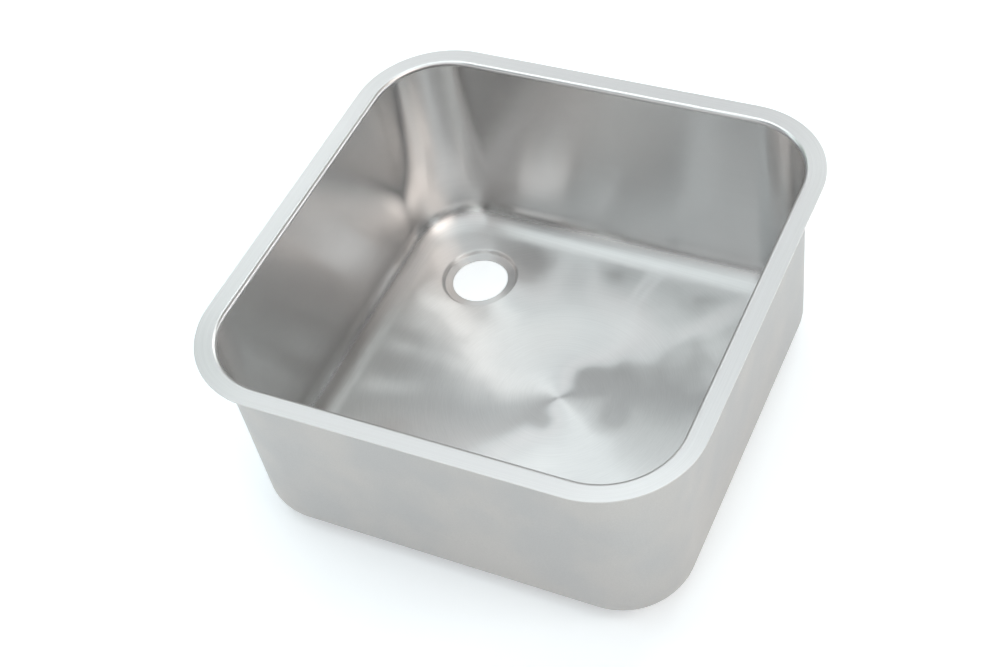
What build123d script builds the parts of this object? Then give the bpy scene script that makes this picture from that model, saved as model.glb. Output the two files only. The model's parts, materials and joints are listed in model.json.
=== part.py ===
"""Undermount kitchen sink: one deep-drawn stainless bowl and the sound-deadening pad glued under its base.

Millimetres, +Z up. The origin is on the floor under the middle of the sink, which stands on its pad.
The waste hole is in the back left corner of the base: -X is left and +Y is back.
"""

from build123d import *
import math
import os

# ---- The sheet and the drawn bowl ----
sheet = 1.2  # stainless steel sheet, the same all over
bowl_width = 398.0  # opening between the walls at the top, along X
bowl_length = 398.0  # the same along Y
bowl_depth = 195.0  # from the flange's top to the inside of the base
corner_radius = 64.0  # inside corners of the opening
base_radius = 25.0  # inside bend from the walls to the base
wall_draft = 4.0  # each wall leans in this far over the depth
flange_width = 18.0  # from a wall's inner face out to the cut edge
roll_radius = 4.0  # the rolled edge from the flange's top into the bowl

# ---- The waste hole and the seat pressed round it ----
waste_hole_diameter = 53.5  # takes a 1 1/2 inch sink waste
waste_inset = 81.5  # from the left and the back wall, at the top, to the hole's axis
seat_diameter = 72.5  # where the seat's side meets the base
seat_side_width = 2.0  # the side slopes in this far
seat_side_drop = 3.7  # and this far down
seat_fall = 0.9  # the ring falls this much more to the hole
seat_bend_radius = 1.2  # inside radius of the seat's two bends
seat_rim_margin = 6.0  # flat base pressed together with the seat
punched_ring = 1.5  # the seat is pressed this far past the hole's edge, and then punched away

# ---- The sound-deadening pad ----
pad_side = 260.0  # square sheet under the middle of the base
pad_corner_radius = 20.0
pad_seat_clearance = 10.0  # bare steel left between the pad and the seat
pad_proud = 0.4  # the pad stands this much lower than the seat

cutter_height = 50.0  # tall enough to pass right through the base or the pad

# ---- Worked out from the sizes above ----
seat_drop = seat_side_drop + seat_fall
pad_thickness = seat_drop + pad_proud
base_underside_z = pad_thickness
base_top_z = base_underside_z + sheet
flange_top_z = base_top_z + bowl_depth
draft_angle = math.degrees(math.atan(wall_draft / bowl_depth))
wall_step = sheet / math.cos(math.radians(draft_angle))  # the sheet, measured level across a leaning wall
waste_x = -(bowl_width / 2 - waste_inset)
waste_y = bowl_length / 2 - waste_inset
hole_radius = waste_hole_diameter / 2
seat_radius = seat_diameter / 2
seat_rim_radius = seat_radius + seat_rim_margin
seat_side_radius = seat_radius - seat_side_width  # where the side meets the ring
seat_slope = seat_fall / (seat_side_radius - hole_radius)


def drawn_block(growth, depth, bend_radius):
    """The solid that the walls and base bound: the hollow itself, or the hollow grown by the sheet."""
    top_plane = Plane(origin=(0, 0, flange_top_z), z_dir=(0, 0, -1))
    opening = top_plane * RectangleRounded(
        bowl_width + 2 * growth, bowl_length + 2 * growth, corner_radius + growth
    )
    block = extrude(opening, amount=depth, taper=draft_angle)
    base_edges = block.faces().sort_by(Axis.Z)[0].edges()
    return fillet(base_edges, radius=bend_radius)


def flange_plate():
    """The flat rim, before the opening is cut through it."""
    rim_plane = Plane.XY.offset(flange_top_z - sheet)
    rim = rim_plane * RectangleRounded(
        bowl_width + 2 * flange_width, bowl_length + 2 * flange_width, corner_radius + flange_width
    )
    return extrude(rim, amount=sheet)


def round_the_opening(shell, level_from_top, radius):
    """Round the edge where a flat side of the flange meets the wall. The flat faces are counted from the top."""
    level_faces = shell.faces().filter_by(Axis.Z).sort_by(Axis.Z, reverse=True)
    return fillet(level_faces[level_from_top].inner_wires()[0].edges(), radius=radius)


def bowl_shell():
    """Flange, walls and base in one sheet, with rolled edges and no waste hole yet."""
    hollow = drawn_block(0, bowl_depth, base_radius)
    outside = drawn_block(wall_step, bowl_depth + sheet, base_radius + sheet)
    shell = outside + flange_plate() - hollow
    shell = round_the_opening(shell, 0, roll_radius)
    return round_the_opening(shell, 1, roll_radius - sheet)


def waste_seat():
    """The ring pressed down round the waste hole, as sheet of even thickness, before the hole is punched."""
    top_line = FilletPolyline(
        (seat_rim_radius, base_top_z),
        (seat_radius, base_top_z),
        (seat_side_radius, base_top_z - seat_side_drop),
        (hole_radius - punched_ring, base_top_z - seat_drop - seat_slope * punched_ring),
        radius=[seat_bend_radius + sheet, seat_bend_radius],
    )
    section = make_face(offset(top_line, amount=sheet, side=Side.LEFT))
    ring = revolve(Plane.XZ * section, axis=Axis.Z)
    return Pos(waste_x, waste_y, 0) * ring


def make_bowl():
    """The whole pressing, with its seat set in and the waste hole punched square through it."""
    seat_gap = Pos(waste_x, waste_y, base_top_z) * Cylinder(seat_rim_radius, cutter_height)
    punch = Pos(waste_x, waste_y, base_top_z) * Cylinder(hole_radius, cutter_height)
    return bowl_shell() - seat_gap + waste_seat() - punch


def make_pad():
    """The pad, cut round the seat and glued flat to the base."""
    sheet_of_rubber = extrude(RectangleRounded(pad_side, pad_side, pad_corner_radius), amount=pad_thickness)
    bite = Pos(waste_x, waste_y, 0) * Cylinder(seat_radius + pad_seat_clearance, cutter_height)
    return sheet_of_rubber - bite


os.makedirs("parts", exist_ok=True)
for name, piece in {"bowl": make_bowl(), "sound_pad": make_pad()}.items():
    solids = piece.solids()
    box = piece.bounding_box()
    print(name, len(solids), "solid, volume", round(piece.volume), "box", box.min, box.max)
    export_step(piece, f"parts/{name}.step")
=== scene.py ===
# %% [markdown]
# # A pressed stainless steel sink bowl
# One sheet of stainless steel is drawn into a square bowl with a narrow flat rim. It has a hole for the
# waste in its back left corner and a rubber pad glued under its base, which deadens the sound of running
# water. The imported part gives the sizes. This script makes the two pieces again as clean meshes, gives
# them their finishes, and lights them as a product photographer would.

import bmesh
import bpy
import json
import math
from mathutils import Matrix, Vector


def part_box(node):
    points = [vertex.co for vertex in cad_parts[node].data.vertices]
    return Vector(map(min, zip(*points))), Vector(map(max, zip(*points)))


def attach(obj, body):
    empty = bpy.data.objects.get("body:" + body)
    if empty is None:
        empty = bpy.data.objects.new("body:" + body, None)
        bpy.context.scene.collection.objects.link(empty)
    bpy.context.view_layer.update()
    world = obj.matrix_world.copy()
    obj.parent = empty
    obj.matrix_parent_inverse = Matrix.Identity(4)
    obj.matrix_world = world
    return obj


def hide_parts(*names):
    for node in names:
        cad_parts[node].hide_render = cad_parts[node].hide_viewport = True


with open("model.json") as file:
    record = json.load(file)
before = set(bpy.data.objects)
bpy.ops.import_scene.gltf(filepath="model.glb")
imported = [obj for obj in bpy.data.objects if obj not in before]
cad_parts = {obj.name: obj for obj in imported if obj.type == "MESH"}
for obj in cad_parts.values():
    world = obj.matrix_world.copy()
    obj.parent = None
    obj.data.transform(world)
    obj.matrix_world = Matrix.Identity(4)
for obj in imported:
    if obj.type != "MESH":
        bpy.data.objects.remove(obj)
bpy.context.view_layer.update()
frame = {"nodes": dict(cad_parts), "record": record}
print("pieces in the part:", sorted(frame["nodes"]))

# %% [markdown]
# # Sizes
# The outside of the flange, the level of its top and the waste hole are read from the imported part. The
# sheet, the bends and the seat aren't in the record, so they are written here once, in millimetres, as the
# pressing tool has them. Everything else is worked out.

# %% Sizes of the pressing
MM = 0.001
sheet = 1.2 * MM
flange_width = 18 * MM
opening_corner_radius = 64 * MM
roll_radius = 4 * MM
base_bend_radius = 25 * MM
wall_draft = 4 * MM
seat_radius = 36.25 * MM
seat_side_width = 2 * MM
seat_side_drop = 3.7 * MM
seat_fall = 0.9 * MM
seat_bend_radius = 1.2 * MM
seat_rim_margin = 6 * MM

bowl_low, bowl_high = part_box("bowl")
pad_low, pad_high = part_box("sound_pad")
waste_mount = next(m for m in frame["record"]["mounts"] if m["name"] == "waste_hole")

flange_top = bowl_high.z
outer_half = bowl_high.x
opening_half = outer_half - flange_width
base_top = pad_high.z + sheet
draft_angle = math.atan(wall_draft / (flange_top - base_top))
waste_x, waste_y = waste_mount["pos_m"][:2]
hole_radius = waste_mount["dims"]["r_mm"] * MM
print("opening", round(2 * opening_half / MM, 1), "mm, depth", round((flange_top - base_top) / MM, 1), "mm")
print("walls lean", round(math.degrees(draft_angle), 2), "degrees")


# %% [markdown]
# # The bowl
# A press draws the bowl from one flat blank: a punch pushes the middle down while the rim is held. The
# mesh is made the same way. A flat square face gets rounded corners, and its middle is then inset again
# and again, a little further in and a little further down each time, along the rolled edge, the wall and
# the base bend. Every ring of faces follows the one outside it, so light runs smoothly round the corners.
# Extruding a box and bevelling it would leave poles in the corners, and they show in a satin metal.

# %% Helper: points along a bend
def arc(centre, radius, start, end, steps):
    """Points on a circle in the section, as (distance out, height). Angles are from straight out."""
    out, up = centre
    angles = [start + (end - start) * step / steps for step in range(1, steps + 1)]
    return [(out + radius * math.cos(angle), up + radius * math.sin(angle)) for angle in angles]


# %% The bowl's section, from the cut edge of the flange to the flat of the base
roll_steps = 12
wall_steps = 6
bend_steps = 20
quarter_turn = math.pi / 2

roll_centre_up = flange_top - roll_radius
roll_centre_out = (
    opening_half - roll_radius * math.tan(draft_angle) + roll_radius / math.cos(draft_angle)
)
bend_centre_up = base_top + base_bend_radius
bend_centre_out = (
    opening_half
    - (flange_top - bend_centre_up) * math.tan(draft_angle)
    - base_bend_radius / math.cos(draft_angle)
)
roll = arc((roll_centre_out, roll_centre_up), roll_radius, quarter_turn, math.pi - draft_angle, roll_steps)
bend = arc((bend_centre_out, bend_centre_up), base_bend_radius, -draft_angle, -quarter_turn, bend_steps)
wall_start = Vector(roll[-1])
wall_end = Vector(
    (
        bend_centre_out + base_bend_radius * math.cos(draft_angle),
        bend_centre_up - base_bend_radius * math.sin(draft_angle),
    )
)
wall = [tuple(wall_start.lerp(wall_end, step / wall_steps)) for step in range(1, wall_steps + 1)]
section = [(outer_half, flange_top), (roll_centre_out, flange_top), *roll, *wall, *bend]
on_inside, on_flange, on_seat, on_outside = range(4)
finishes = [on_flange] * (1 + roll_steps) + [on_inside] * (wall_steps + bend_steps)
print("the section has", len(section), "points and ends", round(section[-1][0] / MM, 2), "mm out")

# %% Draw the sheet down
corner_steps = 32
bowl_mesh = bmesh.new()
bmesh.ops.create_grid(bowl_mesh, x_segments=1, y_segments=1, size=outer_half)
bmesh.ops.translate(bowl_mesh, verts=bowl_mesh.verts, vec=(0, 0, flange_top))
bmesh.ops.bevel(
    bowl_mesh,
    geom=bowl_mesh.verts[:],
    offset=opening_corner_radius + flange_width,
    segments=corner_steps,
    profile=0.5,
    affect="VERTICES",
    material=-1,
)
bowl_mesh.faces.ensure_lookup_table()
middle = bowl_mesh.faces[0]
for (out, up), (next_out, next_up), finish in zip(section, section[1:], finishes):
    ring = bmesh.ops.inset_region(
        bowl_mesh,
        faces=[middle],
        thickness=out - next_out,
        depth=next_up - up,
        use_boundary=True,
        use_even_offset=True,
    )
    for face in ring["faces"]:
        face.material_index = finish
base_outline = middle.edges[:]
bmesh.ops.delete(bowl_mesh, geom=[middle], context="FACES_ONLY")
print("drawn bowl:", len(bowl_mesh.faces), "faces, base outline of", len(base_outline), "edges")

# %% [markdown]
# # The seat round the waste hole
# The flange of the waste sits in a shallow ring, pressed below the base so that water drains over it. It
# is round, so its section is spun about the waste's axis. The flat of the base is then filled in between
# its own outline and the ring's rim.

# %% The seat's section
seat_side_angle = math.atan2(seat_side_drop, seat_side_width)
ring_angle = math.atan2(seat_fall, seat_radius - seat_side_width - hole_radius)
seat_bend_steps = 6


def tangent_length(radius, turn):
    """How far before a corner a bend of this radius has to start."""
    return radius * math.tan(turn / 2)


upper_turn = seat_side_angle
lower_turn = seat_side_angle - ring_angle
upper_bend_radius = seat_bend_radius + sheet
upper_bend_out = seat_radius + tangent_length(upper_bend_radius, upper_turn)
upper_bend = arc(
    (upper_bend_out, base_top - upper_bend_radius),
    upper_bend_radius,
    quarter_turn,
    quarter_turn + upper_turn,
    seat_bend_steps,
)
side_foot = Vector((seat_radius - seat_side_width, base_top - seat_side_drop))
up_the_side = Vector((math.cos(seat_side_angle), math.sin(seat_side_angle)))
lower_start = side_foot + up_the_side * tangent_length(seat_bend_radius, lower_turn)
lower_centre = lower_start + seat_bend_radius * Vector((-up_the_side.y, up_the_side.x))
lower_bend = arc(
    lower_centre,
    seat_bend_radius,
    seat_side_angle - quarter_turn,
    ring_angle - quarter_turn,
    seat_bend_steps,
)
seat_section = [
    (seat_radius + seat_rim_margin, base_top),
    (upper_bend_out, base_top),
    *upper_bend,
    tuple(lower_start),
    *lower_bend,
    (hole_radius, base_top - seat_side_drop - seat_fall),
]
print("the seat's section has", len(seat_section), "points")

# %% Spin the section about the axis of the waste
around_steps = 96
line = [bowl_mesh.verts.new((waste_x + out, waste_y, up)) for out, up in seat_section]
joins = [bowl_mesh.edges.new(pair) for pair in zip(line, line[1:])]
bmesh.ops.spin(
    bowl_mesh,
    geom=line + joins,
    cent=(waste_x, waste_y, 0),
    axis=(0, 0, 1),
    dvec=(0, 0, 0),
    angle=2 * math.pi,
    steps=around_steps,
    use_merge=True,
    use_duplicate=False,
)
for face in bowl_mesh.faces:
    middle_of_face = face.calc_center_median()
    if math.hypot(middle_of_face.x - waste_x, middle_of_face.y - waste_y) < upper_bend_out:
        face.material_index = on_seat
print("faces in the seat:", sum(face.material_index == on_seat for face in bowl_mesh.faces))

# %% Fill in the flat of the base
seat_rim_radius = seat_radius + seat_rim_margin
rim_tolerance = 0.5 * MM


def on_seat_rim(edge):
    """True for the edges of the ring's outer circle."""
    middle_of_edge = (edge.verts[0].co + edge.verts[1].co) / 2
    reach = math.hypot(middle_of_edge.x - waste_x, middle_of_edge.y - waste_y)
    return edge.is_boundary and abs(reach - seat_rim_radius) < rim_tolerance


seat_rim = [edge for edge in bowl_mesh.edges if on_seat_rim(edge)]
flat = bmesh.ops.triangle_fill(bowl_mesh, edges=base_outline + seat_rim, use_beauty=True, normal=(0, 0, 1))
print("seat rim of", len(seat_rim), "edges; flat base filled with", len(flat["geom"]), "faces and edges")

# %% Close the mesh up and point its faces into the bowl
merge_distance = 0.001 * MM
bmesh.ops.remove_doubles(bowl_mesh, verts=bowl_mesh.verts, dist=merge_distance)
bmesh.ops.recalc_face_normals(bowl_mesh, faces=bowl_mesh.faces)
if sum(face.normal.z * face.calc_area() for face in bowl_mesh.faces) < 0:
    bmesh.ops.reverse_faces(bowl_mesh, faces=bowl_mesh.faces)
for face in bowl_mesh.faces:
    face.smooth = True
open_edges = [edge for edge in bowl_mesh.edges if edge.is_boundary]
print("open edges:", len(open_edges), "- the flange's cut edge and the hole's")

# %% [markdown]
# # Pieces and nodes
# A finished mesh becomes an object at the origin, with its place in its mesh. It rides on a body of the
# part, and it takes the place of one of the part's nodes, which is hidden. Nothing on the sink moves, so it
# has one body, called root.
#
# A material is a tree of shader nodes. Nodes are easier to read as code when one small function adds a
# node, sets it up and links it. Colours are written as a screen shows them, and a second function turns
# them into the linear values that light is worked out in.


# %% Helper: a finished piece
def make_piece(name, mesh_data, node_name, materials):
    """Turn a bmesh into an object that rides on the part's body, and hide the part's node that it replaces.
    """
    mesh = bpy.data.meshes.new(name)
    mesh_data.to_mesh(mesh)
    mesh_data.free()
    for material in materials:
        mesh.materials.append(material)
    piece = bpy.data.objects.new(name, mesh)
    bpy.context.scene.collection.objects.link(piece)
    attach(piece, "root")
    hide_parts(node_name)
    return piece


# %% Helpers: colours and shader nodes
def linear(hex_colour):
    """An sRGB colour such as "C8CACA" as the linear colour that shaders work in."""
    channels = [int(hex_colour[start : start + 2], 16) / 255 for start in (0, 2, 4)]
    return [c / 12.92 if c <= 0.04045 else ((c + 0.055) / 1.055) ** 2.4 for c in channels] + [1]


print("a mid grey on the screen is", round(linear("808080")[0], 3), "of the light of white")


def add(tree, kind, inputs=None, **settings):
    """Add a shader node with its own settings, and link or set its inputs by name or number."""
    node = tree.nodes.new("ShaderNode" + kind)
    for name, value in settings.items():
        setattr(node, name, value)
    for key, value in (inputs or {}).items():
        if isinstance(value, bpy.types.NodeSocket):
            tree.links.new(value, node.inputs[key])
        else:
            node.inputs[key].default_value = value
    return node


def new_material(name):
    """An empty node material and its output node."""
    material = bpy.data.materials.new(name)
    material.use_nodes = True
    material.node_tree.nodes.clear()
    output = add(material.node_tree, "OutputMaterial")
    return material, material.node_tree, output


# %% [markdown]
# # Brushed stainless steel
# The inside of the bowl is type 304 stainless steel, satin finished with a fine abrasive that runs round
# and round the middle of the base, level along the walls and along the flange. The fine grooves spread a
# reflection across themselves and keep it sharp along themselves, so the base shows a fan of light and
# dark that meets in the middle. An anisotropic metal does that, once it is told which way its grooves run.
# That direction is worked out from Object coordinates.
#
# A hand-held pad never runs in true circles. Where it was turned on the way round, the grooves swirl and
# the fan's edges bend. Near the bends the draw leaves the sheet uneven, and the pad rides over it in short
# spokes. Both are set out below by name, with a little noise on top. A bump map would give the same shapes
# with relief that isn't there: it is the direction of the grooves alone that makes this pattern.

# %% Helpers: which way the grooves run
brush_centre = (14 * MM, 4 * MM, 0)
waste_centre = (waste_x, waste_y, 0)
straight_up = (0, 0, 1)
without_height = (1, 1, 0)


def level_way(tree, start, end):
    """The way from one place to another, without its height."""
    way = add(tree, "VectorMath", {0: end, 1: start}, operation="SUBTRACT")
    return add(tree, "VectorMath", {0: way.outputs[0], 1: without_height}, operation="MULTIPLY").outputs[0]


def level_grain(tree, outwards):
    """The level direction at right angles to a way that points outwards."""
    across = add(tree, "VectorMath", {0: straight_up, 1: outwards}, operation="CROSS_PRODUCT")
    return add(tree, "VectorMath", {0: across.outputs[0]}, operation="NORMALIZE").outputs[0]


def from_rim_line(tree, place):
    """The way out from a square between the corners' centres. In a corner it is a radius of the corner."""
    arc_centre = opening_half - opening_corner_radius
    inside = add(tree, "VectorMath", {0: place, 1: (arc_centre,) * 3}, operation="MINIMUM")
    inside = add(tree, "VectorMath", {0: inside.outputs[0], 1: (-arc_centre,) * 3}, operation="MAXIMUM")
    return level_way(tree, inside.outputs[0], place)


# %% Helper: scratches drawn out along the grooves
streak_detail = 3.0
streak_raggedness = 0.6


def streaks(tree, place, across, width, length):
    """Noise drawn out along the grooves: across is the coordinate that runs from groove to groove."""
    along = add(tree, "VectorMath", {0: place, 1: (1 / length,) * 3}, operation="MULTIPLY")
    count = add(tree, "Math", {0: across, 1: width}, operation="DIVIDE")
    step = add(tree, "CombineXYZ", {"X": count.outputs[0], "Y": 0.0, "Z": 0.0})
    noise_place = add(tree, "VectorMath", {0: along.outputs[0], 1: step.outputs[0]}, operation="ADD")
    noise_inputs = {
        "Vector": noise_place.outputs[0],
        "Scale": 1.0,
        "Detail": streak_detail,
        "Roughness": streak_raggedness,
    }
    return add(tree, "TexNoise", noise_inputs).outputs[0]


# %% Helper: a metal with grooves
steel_colour = "DADADA"
faint_scratch = 0.2
strong_scratch = 0.8
scratch_shades = (0.96, 1.03)
scratch_dullness = (1.04, 0.96)
across_the_grain = 0.25  # of a turn: the sheen spreads across the grooves and not along them


def finish_steel(tree, output, grain, scratches, roughness, anisotropy):
    """A metal with grooves along the grain. The scratches change its shade and its gloss a little."""
    shade = add(
        tree,
        "MapRange",
        {
            "Value": scratches,
            "From Min": faint_scratch,
            "From Max": strong_scratch,
            "To Min": scratch_shades[0],
            "To Max": scratch_shades[1],
        },
        interpolation_type="SMOOTHSTEP",
    ).outputs["Result"]
    wear = add(
        tree,
        "MapRange",
        {
            "Value": scratches,
            "From Min": faint_scratch,
            "From Max": strong_scratch,
            "To Min": scratch_dullness[0],
            "To Max": scratch_dullness[1],
        },
        interpolation_type="SMOOTHSTEP",
    ).outputs["Result"]
    tone = add(tree, "VectorMath", {0: linear(steel_colour)[:3], "Scale": shade}, operation="SCALE")
    gloss = add(tree, "Math", {0: roughness, 1: wear}, operation="MULTIPLY")
    steel = add(
        tree,
        "BsdfPrincipled",
        {
            "Base Color": tone.outputs[0],
            "Metallic": 1.0,
            "Roughness": gloss.outputs[0],
            "Anisotropic": anisotropy,
            "Anisotropic Rotation": across_the_grain,
            "Tangent": grain,
        },
    )
    tree.links.new(steel.outputs[0], output.inputs["Surface"])


# %% [markdown]
# # Uneven brushing
# A swirl turns the grooves most in its own middle and fades out round it. A spoke turns them along one
# bearing from the middle of the brushing, more and more towards the bend. Bearings are in degrees: 0 is
# straight back and 90 is straight left. The numbers were found by trying grooves of different directions
# in renders and comparing the fan with the real one, and then rounded.

# %% Swirls and spokes
swirls = {  # place on the base, how far from it the swirl fades out, and its turn in degrees
    "left of the middle": ((-39 * MM, -11 * MM, 0), 109 * MM, -32),
    "well behind the middle": ((9 * MM, 71 * MM, 0), 87 * MM, 30),
    "in front": ((15 * MM, -80 * MM, 0), 64 * MM, 47),
    "just in front of the middle": ((15 * MM, -26 * MM, 0), 23 * MM, -41),
    "just behind the middle": ((23 * MM, 36 * MM, 0), 29 * MM, -44),
    "behind it to the right": ((48 * MM, 48 * MM, 0), 39 * MM, -28),
    "right of the middle": ((68 * MM, -5 * MM, 0), 26 * MM, 35),
    "in front of that": ((68 * MM, -28 * MM, 0), 30 * MM, -11),
    "farther right": ((106 * MM, -6 * MM, 0), 74 * MM, 15),
}
spokes = {  # bearing, half its width, and its turn, all in degrees
    "right": (-63, 19, 18),
    "back right corner": (-38, 5, 15),
    "back, right of the middle": (-16, 30, -22),
    "back, light streak": (-10, 4.5, 49),
    "back, middle": (3, 15, -42),
    "beside the waste": (33, 19, -77),
    "left, behind the middle": (57, 10, 19),
    "left, middle": (87, 6, -11),
    "left, in front of the middle": (104, 10, -30),
    "front left": (114, 9, -9),
    "front left, light streak": (120, 6, 6),
}
spokes_start = 81 * MM
spokes_full = 174 * MM
overall_turn = math.radians(5)
print("swirls:", len(swirls), "- spokes:", len(spokes))

# %% Helpers: adding up turns, and noise in them
wander_detail = 1.0


def sum_of(tree, values):
    """Add up any number of values."""
    total = values[0]
    for value in values[1:]:
        total = add(tree, "Math", {0: total, 1: value}, operation="ADD").outputs[0]
    return total


def wander(tree, place, size, reach):
    """Noise of this size, centred on zero: turns of up to about half the reach, in radians."""
    noise = add(tree, "TexNoise", {"Vector": place, "Scale": 1 / size, "Detail": wander_detail}).outputs[0]
    limits = {"Value": noise, "From Min": 0.0, "From Max": 1.0, "To Min": -reach / 2, "To Max": reach / 2}
    return add(tree, "MapRange", limits).outputs["Result"]


# %% Helpers: the turns of the swirls and of the spokes
def swirl_turns(tree, place):
    """How far each swirl turns the grooves here, in radians."""
    on_base = add(tree, "VectorMath", {0: place, 1: without_height}, operation="MULTIPLY").outputs[0]
    turns = []
    for name, (middle_of_swirl, fades_out, angle) in swirls.items():
        ends = {0: on_base, 1: middle_of_swirl}
        distance = add(tree, "VectorMath", ends, operation="DISTANCE", label=name)
        turn = add(
            tree,
            "MapRange",
            {
                "Value": distance.outputs["Value"],
                "From Min": 0.0,
                "From Max": fades_out,
                "To Min": math.radians(angle),
                "To Max": 0.0,
            },
            interpolation_type="SMOOTHSTEP",
        )
        turns.append(turn.outputs["Result"])
    return turns


def spoke_turns(tree, from_centre):
    """How far each spoke turns the grooves here, in radians, before it grows towards the bend."""
    parts = add(tree, "SeparateXYZ", {0: from_centre})
    to_left = add(tree, "Math", {0: parts.outputs["X"], 1: -1.0}, operation="MULTIPLY").outputs[0]
    bearing = add(tree, "Math", {0: to_left, 1: parts.outputs["Y"]}, operation="ARCTAN2").outputs[0]
    turns = []
    for name, (direction, half_width, angle) in spokes.items():
        bearings = {0: bearing, 1: math.radians(direction)}
        aside = add(tree, "Math", bearings, operation="SUBTRACT", label=name)
        aside = add(tree, "Math", {0: aside.outputs[0]}, operation="ABSOLUTE")
        turn = add(
            tree,
            "MapRange",
            {
                "Value": aside.outputs[0],
                "From Min": 0.0,
                "From Max": math.radians(half_width),
                "To Min": math.radians(angle),
                "To Max": 0.0,
            },
            interpolation_type="SMOOTHSTEP",
        )
        turns.append(turn.outputs["Result"])
    return turns


# %% Helper: all that turns the grooves out of true circles
bearing_wander_size = 0.2  # on a circle of radius 1
bearing_wander_reach = 0.3
place_wander_size = 22 * MM
place_wander_reach = 0.35


def uneven_brushing(tree, place, from_centre):
    """How far the grooves turn out of true circles, in radians, anywhere on the base."""
    fans = spoke_turns(tree, from_centre)
    on_circle = add(tree, "VectorMath", {0: from_centre}, operation="NORMALIZE").outputs[0]
    fans.append(wander(tree, on_circle, bearing_wander_size, bearing_wander_reach))
    reach = add(tree, "VectorMath", {0: from_centre}, operation="LENGTH")
    growth = add(
        tree,
        "MapRange",
        {"Value": reach.outputs["Value"], "From Min": spokes_start, "From Max": spokes_full},
        interpolation_type="SMOOTHSTEP",
    ).outputs["Result"]
    grown_fans = add(tree, "Math", {0: sum_of(tree, fans), 1: growth}, operation="MULTIPLY").outputs[0]
    noise = wander(tree, place, place_wander_size, place_wander_reach)
    return sum_of(tree, [*swirl_turns(tree, place), grown_fans, noise, overall_turn])


# %% Brushed steel inside the bowl
base_roughness = 0.4
wall_roughness = 0.22  # the walls were brushed finer
polish_height = 16 * MM  # from the base up to where the bend is as fine as the walls
inside_anisotropy = 0.9
true_circles_end = 20 * MM  # in a corner, the radius up to which the grooves still run in circles
level_grooves_start = 50 * MM  # and the one from which they follow the walls
brush_line_width = 0.6 * MM  # the real lines, about 0.1 mm apart, are drawn this coarse so that they show
ring_line_length = 12 * MM
wall_line_length = 40 * MM


def brushed_steel():
    """304 stainless, brushed by hand: a fan of light on the base, and long soft bands on the walls."""
    material, tree, output = new_material("brushed_304_stainless")
    place = add(tree, "TexCoord").outputs["Object"]
    from_centre = level_way(tree, brush_centre, place)
    outwards = from_rim_line(tree, place)
    circles = add(
        tree,
        "VectorRotate",
        {
            "Vector": level_grain(tree, from_centre),
            "Axis": straight_up,
            "Angle": uneven_brushing(tree, place, from_centre),
        },
        rotation_type="AXIS_ANGLE",
    ).outputs[0]
    corner_radius_here = add(tree, "VectorMath", {0: outwards}, operation="LENGTH").outputs["Value"]
    into_bend = add(
        tree,
        "MapRange",
        {"Value": corner_radius_here, "From Min": true_circles_end, "From Max": level_grooves_start},
        interpolation_type="SMOOTHSTEP",
    ).outputs["Result"]
    grains = {"Factor": into_bend, "A": circles, "B": level_grain(tree, outwards)}
    grain = add(tree, "Mix", grains, data_type="VECTOR").outputs["Result"]
    grain = add(tree, "VectorMath", {0: grain}, operation="NORMALIZE").outputs[0]
    height = add(tree, "SeparateXYZ", {0: place}).outputs["Z"]
    reach = add(tree, "VectorMath", {0: from_centre}, operation="LENGTH").outputs["Value"]
    rings = streaks(tree, place, reach, brush_line_width, ring_line_length)
    levels = streaks(tree, place, height, brush_line_width, wall_line_length)
    lines = {"Factor": into_bend, "A": rings, "B": levels}
    scratches = add(tree, "Mix", lines, data_type="FLOAT").outputs["Result"]
    roughness = add(
        tree,
        "MapRange",
        {
            "Value": height,
            "From Min": base_top,
            "From Max": base_top + polish_height,
            "To Min": base_roughness,
            "To Max": wall_roughness,
        },
        interpolation_type="SMOOTHSTEP",
    ).outputs["Result"]
    finish_steel(tree, output, grain, scratches, roughness, inside_anisotropy)
    return material


# %% [markdown]
# # The flange, the seat and the outside
# The flange is linished: an abrasive belt runs along it and leaves faint, even lines. The seat is turned,
# so its rings run round the hole. The outside is left as the rolling mill made it, dull and a little
# cloudy. One metal with four finishes looks like one sheet, and the eye finds the edges between them by
# their sheen alone, so each is a material of its own with the same steel colour or one near it.

# %% Linished steel on the flange
flange_roughness = 0.34
flange_anisotropy = 0.3
belt_line_width = 0.8 * MM  # the real lines, about 0.2 mm apart, are drawn this coarse so that they show
belt_line_length = 60 * MM


def linished_steel():
    """304 stainless, finished on a belt: faint lines along the flange, and an even, pale sheen."""
    material, tree, output = new_material("linished_304_stainless")
    place = add(tree, "TexCoord").outputs["Object"]
    outwards = from_rim_line(tree, place)
    reach = add(tree, "VectorMath", {0: outwards}, operation="LENGTH").outputs["Value"]
    scratches = streaks(tree, place, reach, belt_line_width, belt_line_length)
    finish_steel(tree, output, level_grain(tree, outwards), scratches, flange_roughness, flange_anisotropy)
    return material


# %% Turned steel on the seat
seat_roughness = 0.42
seat_anisotropy = 0.9
tool_ring_width = 0.8 * MM  # the real rings, about 0.2 mm apart, are drawn this coarse so that they show
tool_ring_length = 60 * MM


def turned_steel():
    """304 stainless, turned: fine rings round the waste hole, and a soft grey sheen."""
    material, tree, output = new_material("turned_304_stainless")
    place = add(tree, "TexCoord").outputs["Object"]
    from_waste = level_way(tree, waste_centre, place)
    reach = add(tree, "VectorMath", {0: from_waste}, operation="LENGTH").outputs["Value"]
    scratches = streaks(tree, place, reach, tool_ring_width, tool_ring_length)
    finish_steel(tree, output, level_grain(tree, from_waste), scratches, seat_roughness, seat_anisotropy)
    return material


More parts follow.
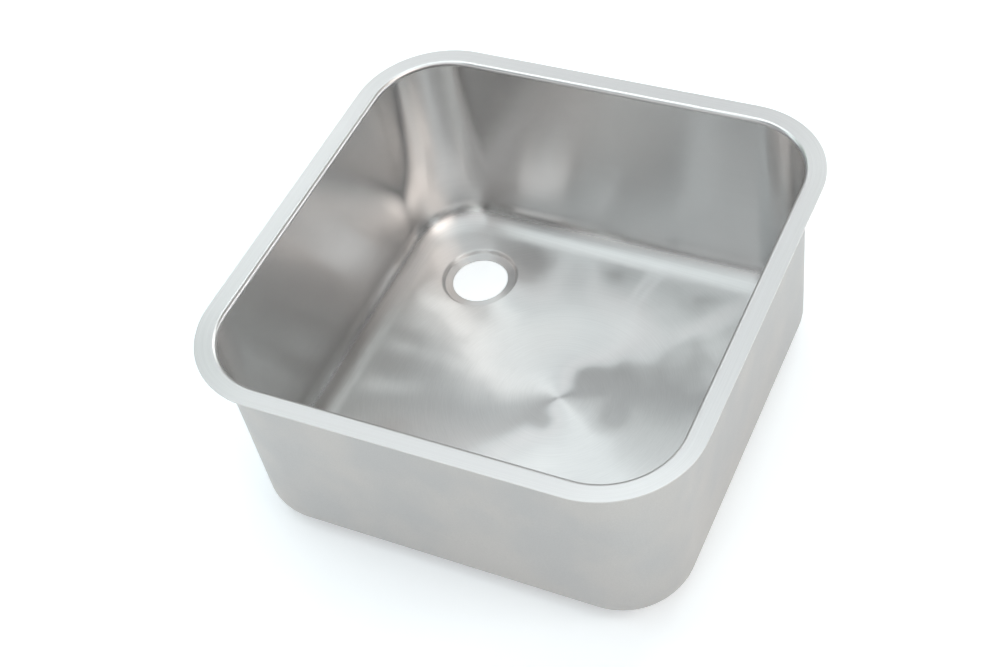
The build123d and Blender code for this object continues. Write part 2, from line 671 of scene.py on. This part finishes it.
# %% Rolled steel on the outside
cloud_size = 70 * MM
cloud_detail = 3.0
cloud_low, cloud_high = 0.35, 0.65
dull_low, dull_high = 0.3, 0.7
cloud_colours = ("C2C4C5", "C8C8C7")
cloud_roughness = (0.44, 0.4)
peel_size = 1.2 * MM  # the real orange peel, about 0.2 mm across, is drawn this coarse so that it shows
peel_detail = 2.0
peel_low, peel_high = 0.2, 0.8
peel_shades = (0.97, 1.03)


def rolled_steel():
    """304 stainless as it was rolled and drawn: a dull, even grey, a little cloudy and grainy."""
    material, tree, output = new_material("mill_finish_304_stainless")
    place = add(tree, "TexCoord").outputs["Object"]
    cloud_noise = {"Vector": place, "Scale": 1 / cloud_size, "Detail": cloud_detail}
    clouds = add(tree, "TexNoise", cloud_noise).outputs[0]
    peel_noise = {"Vector": place, "Scale": 1 / peel_size, "Detail": peel_detail}
    peel = add(tree, "TexNoise", peel_noise).outputs[0]
    cloud = add(
        tree,
        "MapRange",
        {"Value": clouds, "From Min": cloud_low, "From Max": cloud_high},
        interpolation_type="SMOOTHSTEP",
    ).outputs["Result"]
    tones = {"Factor": cloud, "A": linear(cloud_colours[0]), "B": linear(cloud_colours[1])}
    tone = add(tree, "Mix", tones, data_type="RGBA").outputs["Result"]
    shade = add(
        tree,
        "MapRange",
        {
            "Value": peel,
            "From Min": peel_low,
            "From Max": peel_high,
            "To Min": peel_shades[0],
            "To Max": peel_shades[1],
        },
        interpolation_type="SMOOTHSTEP",
    ).outputs["Result"]
    tone = add(tree, "VectorMath", {0: tone, "Scale": shade}, operation="SCALE").outputs[0]
    gloss = add(
        tree,
        "MapRange",
        {
            "Value": clouds,
            "From Min": dull_low,
            "From Max": dull_high,
            "To Min": cloud_roughness[0],
            "To Max": cloud_roughness[1],
        },
        interpolation_type="SMOOTHSTEP",
    ).outputs["Result"]
    steel = add(tree, "BsdfPrincipled", {"Base Color": tone, "Metallic": 1.0, "Roughness": gloss})
    tree.links.new(steel.outputs[0], output.inputs["Surface"])
    return material


# %% The bowl, with its finishes in the order of their numbers
bowl_finishes = {
    on_inside: brushed_steel(),
    on_flange: linished_steel(),
    on_seat: turned_steel(),
    on_outside: rolled_steel(),
}
bowl = make_piece("bowl_pressing", bowl_mesh, "bowl", bowl_finishes.values())
for number, finish in bowl_finishes.items():
    print("finish", number, "is", finish.name, "with", len(finish.node_tree.nodes), "nodes")

# %% [markdown]
# # Giving the sheet its thickness
# The faces made so far are the side that shows inside the bowl. Solidify adds the other side 1.2 mm behind
# them and closes the cut edges. A narrow Bevel takes the sharpness off those edges, as deburring does, and
# Weighted Normal keeps the flat faces flat beside their bends.

# %% Thickness, deburred edges and clean shading
deburr_width = 0.4 * MM
deburr_steps = 3
cut_edge_angle = math.radians(60)  # only the cut edges are sharper than this
thickness = bowl.modifiers.new("sheet thickness", "SOLIDIFY")
thickness.thickness = sheet
thickness.offset = -1
thickness.use_even_offset = True
thickness.use_quality_normals = True
thickness.material_offset = on_outside
deburr = bowl.modifiers.new("deburred edges", "BEVEL")
deburr.width = deburr_width
deburr.segments = deburr_steps
deburr.limit_method = "ANGLE"
deburr.angle_limit = cut_edge_angle
shading = bowl.modifiers.new("flat faces stay flat", "WEIGHTED_NORMAL")
shading.weight = 100  # the large faces decide
shading.keep_sharp = True
print("the bowl is finished by:", [modifier.name for modifier in bowl.modifiers])

# %% [markdown]
# # The sound-deadening pad
# A sheet of black rubber is glued under the base. It can't be seen from above. Its outline has a bite
# round the seat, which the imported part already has, so a copy of that node's mesh is merged, cleared of
# its loose triangles and given worn, rounded edges.

# %% The pad's mesh
pad_edge_radius = 1.0 * MM
pad_edge_steps = 3
flat_angle = math.radians(1)
near_floor = 0.1 * MM
pad_mesh = bmesh.new()
pad_mesh.from_mesh(frame["nodes"]["sound_pad"].data)
bmesh.ops.remove_doubles(pad_mesh, verts=pad_mesh.verts, dist=merge_distance)
bmesh.ops.dissolve_limit(
    pad_mesh,
    angle_limit=flat_angle,
    verts=pad_mesh.verts,
    edges=pad_mesh.edges,
    use_dissolve_boundaries=False,
)
lower_edges = [edge for edge in pad_mesh.edges if all(vert.co.z < near_floor for vert in edge.verts)]
bmesh.ops.bevel(
    pad_mesh,
    geom=lower_edges,
    offset=pad_edge_radius,
    segments=pad_edge_steps,
    profile=0.5,
    affect="EDGES",
    material=-1,
)
print("pad:", len(pad_mesh.faces), "faces")

# %% The rubber, and the pad
cloth_pitch = 1.6 * MM  # from thread to thread
cloth_depth = 0.1 * MM
cloth_strength = 0.5
bloom_size = 35 * MM
bloom_detail = 4.0
bloom_low, bloom_high = 0.3, 0.7
rubber_colours = ("262627", "383838")  # clean, and with bloom
rubber_roughness = (0.62, 0.8)


def pad_rubber():
    """Calendered rubber sheet: matt and nearly black, with the print of a woven cloth and a dusty bloom."""
    material, tree, output = new_material("calendered_rubber")
    place = add(tree, "TexCoord").outputs["Object"]
    threads = add(tree, "VectorMath", {0: place, "Scale": 2 * math.pi / cloth_pitch}, operation="SCALE")
    waves = add(tree, "VectorMath", {0: threads.outputs[0]}, operation="SINE")
    waves = add(tree, "SeparateXYZ", {0: waves.outputs[0]})
    weave = add(tree, "Math", {0: waves.outputs["X"], 1: waves.outputs["Y"]}, operation="MULTIPLY")
    bloom_noise = {"Vector": place, "Scale": 1 / bloom_size, "Detail": bloom_detail}
    bloom = add(tree, "TexNoise", bloom_noise).outputs[0]
    dust = add(
        tree,
        "MapRange",
        {"Value": bloom, "From Min": bloom_low, "From Max": bloom_high},
        interpolation_type="SMOOTHSTEP",
    ).outputs["Result"]
    tones = {"Factor": dust, "A": linear(rubber_colours[0]), "B": linear(rubber_colours[1])}
    tone = add(tree, "Mix", tones, data_type="RGBA").outputs["Result"]
    gloss = add(
        tree,
        "MapRange",
        {
            "Value": bloom,
            "From Min": bloom_low,
            "From Max": bloom_high,
            "To Min": rubber_roughness[0],
            "To Max": rubber_roughness[1],
        },
        interpolation_type="SMOOTHSTEP",
    ).outputs["Result"]
    cloth = {"Height": weave.outputs[0], "Strength": cloth_strength, "Distance": cloth_depth}
    print_of_cloth = add(tree, "Bump", cloth).outputs[0]
    rubber = add(tree, "BsdfPrincipled", {"Base Color": tone, "Roughness": gloss, "Normal": print_of_cloth})
    tree.links.new(rubber.outputs[0], output.inputs["Surface"])
    return material


pad = make_piece("sound_pad_sheet", pad_mesh, "sound_pad", [pad_rubber()])
print("pieces made:", bowl.name, "and", pad.name)

# %% [markdown]
# # The camera
# The photograph looks down into the sink from its front right corner. A pinhole camera was fitted to the
# rim, the opening and the body, and these are its place and direction.

# %% The camera
camera_right = 522.48 * MM
camera_front = 842.18 * MM
camera_above_flange = 1009.55 * MM
camera_azimuth = math.radians(33.3033)
camera_elevation = math.radians(48.2138)
camera_roll = math.radians(-11.7839)
lens_length = 62.27  # in millimetres, as Blender wants it, and so is the width of the sensor
sensor_width = 36
camera_data = bpy.data.cameras.new("camera")
camera_data.sensor_width = sensor_width
camera_data.lens = lens_length
camera = bpy.data.objects.new("camera", camera_data)
camera.location = (camera_right, -camera_front, flange_top + camera_above_flange)
heading = Matrix.Rotation(camera_azimuth, 4, "Z")
tilt = Matrix.Rotation(quarter_turn - camera_elevation, 4, "X")
roll_of_camera = Matrix.Rotation(camera_roll, 4, "Z")
camera.rotation_euler = (heading @ tilt @ roll_of_camera).to_euler()
bpy.context.scene.collection.objects.link(camera)
bpy.context.scene.camera = camera
print("the camera stands", round(camera.location.length, 2), "m from the sink")

# %% [markdown]
# # The studio
# Steel has next to no colour of its own, and looks like what stands round it. So the studio is built as a
# photographer would build it, from large soft boxes, scrims and dark cards in a white room. The world's
# shader holds them, each by name, as a soft-edged rectangle in some direction. Azimuth 0 is straight
# behind the sink and grows to the left, and a later one stands in front of the earlier ones. All together
# they light a level surface about as a white room of strength 1 does, so a colour renders about as it is
# written. Their places and strengths were found by lighting the sink from one patch of the room at a time,
# weighing those renders against the real steel's reflections, and rounding.

# %% Helper: a soft box or card in the world
world = bpy.data.worlds.new("studio")
world.use_nodes = True
world.node_tree.nodes.clear()
room = world.node_tree
looking = add(room, "TexCoord").outputs["Generated"]
least_ahead = 0.05  # a rectangle ends well before it stands edge on


def direction_of(azimuth, elevation):
    """Unit vectors forward, right and up for a lamp, from its angles in degrees."""
    forward = Vector((0, 1, 0))
    forward.rotate(Matrix.Rotation(math.radians(elevation), 3, "X"))
    forward.rotate(Matrix.Rotation(math.radians(azimuth), 3, "Z"))
    right = Matrix.Rotation(math.radians(azimuth), 3, "Z") @ Vector((1, 0, 0))
    return forward, right, right.cross(forward)


def soft_span(across, ahead, angle, softness):
    """1 inside the angle and 0 outside, on one axis of a rectangle, with a soft edge between."""
    slope = add(room, "Math", {0: across, 1: ahead}, operation="DIVIDE")
    reach = add(room, "Math", {0: slope.outputs[0]}, operation="ABSOLUTE")
    half = math.tan(math.radians(angle / 2))
    edge = math.tan(math.radians(softness)) / 2
    span = add(
        room,
        "MapRange",
        {
            "Value": reach.outputs[0],
            "From Min": half - edge,
            "From Max": half + edge,
            "To Min": 1,
            "To Max": 0,
        },
        interpolation_type="SMOOTHSTEP",
    )
    return span.outputs[0]


def hang(behind, name, azimuth, elevation, width, height, softness, light):
    """Put a soft-edged rectangle in front of what is already there. Angles are in degrees."""
    axes = direction_of(azimuth, elevation)
    shares = [add(room, "VectorMath", {0: looking, 1: axis}, operation="DOT_PRODUCT") for axis in axes]
    ahead, across, upwards = (share.outputs["Value"] for share in shares)
    in_front = add(room, "Math", {0: ahead, 1: least_ahead}, operation="GREATER_THAN").outputs[0]
    span = soft_span(across, ahead, width, softness)
    wide = add(room, "Math", {0: span, 1: in_front}, operation="MULTIPLY")
    tall = soft_span(upwards, ahead, height, softness)
    mask = add(room, "Math", {0: wide.outputs[0], 1: tall}, operation="MULTIPLY")
    layers = {"Factor": mask.outputs[0], "A": behind, "B": light}
    return add(room, "Mix", layers, data_type="VECTOR", label=name).outputs["Result"]


# %% Hang the lights and cards: azimuth, elevation, width, height, softness, and red, green and blue light
white_room = (1.0, 1.0, 1.0)
seen = white_room
seen = hang(seen, "dark curtain, left", 94.5, 4.5, 83.5, 16, 5, (0.2, 0.2, 0.26))
seen = hang(seen, "dark curtain, behind", 4, 18.5, 79, 26, 4, (0.27, 0.27, 0.27))
seen = hang(seen, "overhead light", -21, 80, 53, 55, 21, (1.28, 1.38, 1.39))
seen = hang(seen, "window light, left", 111.5, 46.5, 62, 45, 4, (2.95, 3.3, 3.31))
seen = hang(seen, "softbox, right", -78, 47, 84.5, 19.5, 4, (3.9, 3.55, 3.29))
seen = hang(seen, "softbox, high behind", 7.5, 57, 79.5, 27.5, 5.5, (3.62, 3.9, 3.9))
seen = hang(seen, "strip light, behind", -25.5, 37, 55, 39, 6.5, (2.8, 2.94, 2.86))
seen = hang(seen, "scrim, behind", 32, 51.5, 39.5, 18, 4, (0.35, 0.36, 0.39))
seen = hang(seen, "black card, back right", -42, 45.5, 36.5, 46.5, 4, (0.05, 0.03, 0.02))
seen = hang(seen, "grey card, back left", 73, 32.5, 32.5, 35, 4, (0.19, 0.25, 0.2))
seen = hang(seen, "black card, front right", 229, 14.5, 114, 45, 28, (0.05, 0.03, 0.03))
seen = hang(seen, "low light, right", -67.5, 2.5, 46, 14.5, 5, (3.9, 3.89, 3.89))
seen = hang(seen, "black card, front left", 129, 42, 39.5, 38.5, 6, (0.04, 0.04, 0.05))
seen = hang(seen, "small light, high left", 73, 66, 30, 14, 6, (2.18, 2.18, 2.18))
print("hung in the room:", [node.label for node in room.nodes if node.label])

# %% The camera sees the white room alone, and every other ray sees the lamps and cards in it too
white = (1, 1, 1, 1)
rays = add(room, "LightPath")
backdrop = add(room, "Background", {"Color": white, "Strength": 1.0})
studio_light = add(room, "Background", {"Color": seen, "Strength": 1.0})
by_camera = {0: rays.outputs["Is Camera Ray"], 1: studio_light.outputs[0], 2: backdrop.outputs[0]}
shown = add(room, "MixShader", by_camera)
add(room, "OutputWorld", {"Surface": shown.outputs[0]})
bpy.context.scene.world = world
bpy.context.scene.view_settings.view_transform = "Standard"
print("the room's shader has", len(room.nodes), "nodes")

# %% [markdown]
# # The floor
# The sink stands on white paper that the photographer has lit until it is pure white. A glow of its own is
# added only for rays from the camera, the steel's reflections and anything clear, and the camera sees the
# paper a little whiter and cooler than it lights the steel. The part that is lit by the room still darkens
# where the sink shades it, so the floor keeps its shadow. From below the paper is clear, to show the
# underside.

# %% The floor's mesh
floor_half = 4  # metres
floor_mesh = bmesh.new()
bmesh.ops.create_grid(floor_mesh, x_segments=1, y_segments=1, size=floor_half)
floor_data = bpy.data.meshes.new("floor")
floor_mesh.to_mesh(floor_data)
floor_mesh.free()
floor = bpy.data.objects.new("floor", floor_data)
bpy.context.scene.collection.objects.link(floor)

# %% White paper, with a glow for the rays that see it
paper_that_lights = "E0E0E0"
paper_that_shows = "F4FAFE"
paper_glow = 0.26
floor_material, floor_tree, floor_output = new_material("white_paper")
ray = add(floor_tree, "LightPath").outputs
papers = {"Factor": ray["Is Camera Ray"], "A": linear(paper_that_lights), "B": linear(paper_that_shows)}
paper_colour = add(floor_tree, "Mix", papers, data_type="RGBA").outputs["Result"]
paper = add(floor_tree, "BsdfDiffuse", {"Color": paper_colour})
camera_or_glossy = {0: ray["Is Camera Ray"], 1: ray["Is Glossy Ray"]}
seen_directly = add(floor_tree, "Math", camera_or_glossy, operation="MAXIMUM")
or_clear = {0: seen_directly.outputs[0], 1: ray["Is Transmission Ray"]}
seen_at_all = add(floor_tree, "Math", or_clear, operation="MAXIMUM")
glow = add(floor_tree, "Emission", {"Color": white, "Strength": paper_glow})
glow_seen = add(floor_tree, "MixShader", {0: seen_at_all.outputs[0], 2: glow.outputs[0]})
lit_paper = add(floor_tree, "AddShader", {0: paper.outputs[0], 1: glow_seen.outputs[0]})
from_below = add(floor_tree, "NewGeometry").outputs["Backfacing"]
clear = add(floor_tree, "BsdfTransparent")
one_sided = add(floor_tree, "MixShader", {0: from_below, 1: lit_paper.outputs[0], 2: clear.outputs[0]})
floor_tree.links.new(one_sided.outputs[0], floor_output.inputs["Surface"])
floor_data.materials.append(floor_material)
print("the floor is", 2 * floor_half, "m square, and its glow is", paper_glow)
